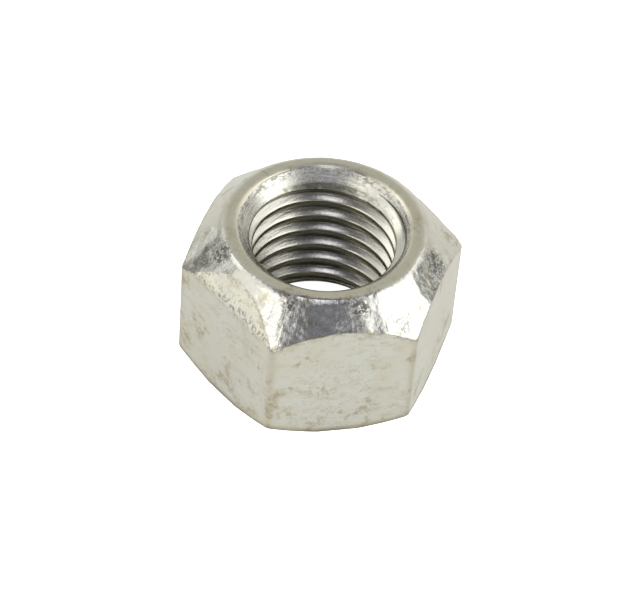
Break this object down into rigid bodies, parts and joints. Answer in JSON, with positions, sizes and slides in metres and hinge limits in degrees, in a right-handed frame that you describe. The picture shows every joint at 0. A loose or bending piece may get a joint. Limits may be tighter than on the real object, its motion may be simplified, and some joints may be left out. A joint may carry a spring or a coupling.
{
  "type": "locking hex nut",
  "caption": "One-piece all-metal locking hex nut with a conical crown pressed in on two sides so that it grips the bolt.",
  "frame": {"origin": "centre of the bearing face, on the thread's axis", "axes": "+Z along the thread's axis towards the crown; the two pressed facets face +Y and -Y"},
  "size_m": [0.0276, 0.024, 0.0159],
  "materials": {
    "zinc_plated_steel": "bright zinc plating, dulled on the flats"
  },
  "bodies": {
    "root": {"hex_nut": "zinc_plated_steel"}
  },
  "joints": []
}
